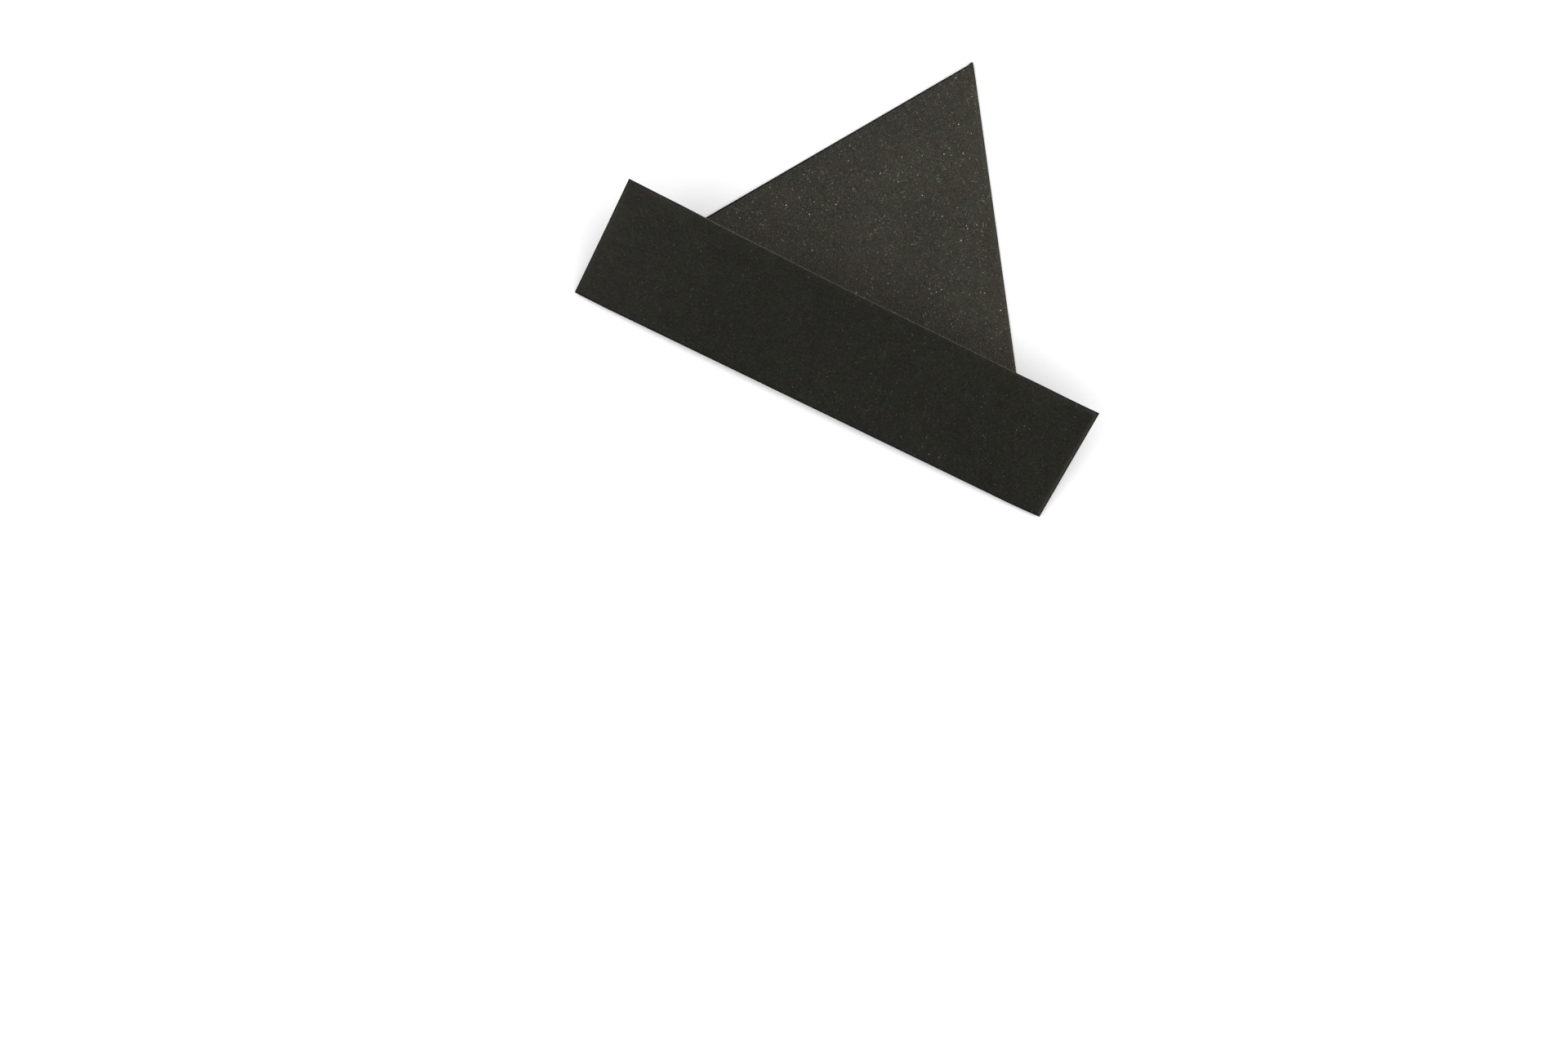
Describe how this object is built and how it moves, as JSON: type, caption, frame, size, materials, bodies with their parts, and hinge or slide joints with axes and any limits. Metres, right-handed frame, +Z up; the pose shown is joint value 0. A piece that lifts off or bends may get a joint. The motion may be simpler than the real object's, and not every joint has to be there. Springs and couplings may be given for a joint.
{
  "type": "origami witch hat",
  "caption": "Pointed witch hat folded from a square of black paper: corners folded behind for the crown, lower edge folded up as a sprung-open brim.",
  "frame": {"origin": "middle of the closed box, on the surface that the hat lies on", "axes": "+X along the brim, +Y from the brim towards the point, +Z up out of the front of the hat"},
  "size_m": [0.0758, 0.0554, 0.0116],
  "materials": {
    "paper": "matte"
  },
  "bodies": {
    "root": {"folded_sheet": "paper"}
  },
  "joints": []
}
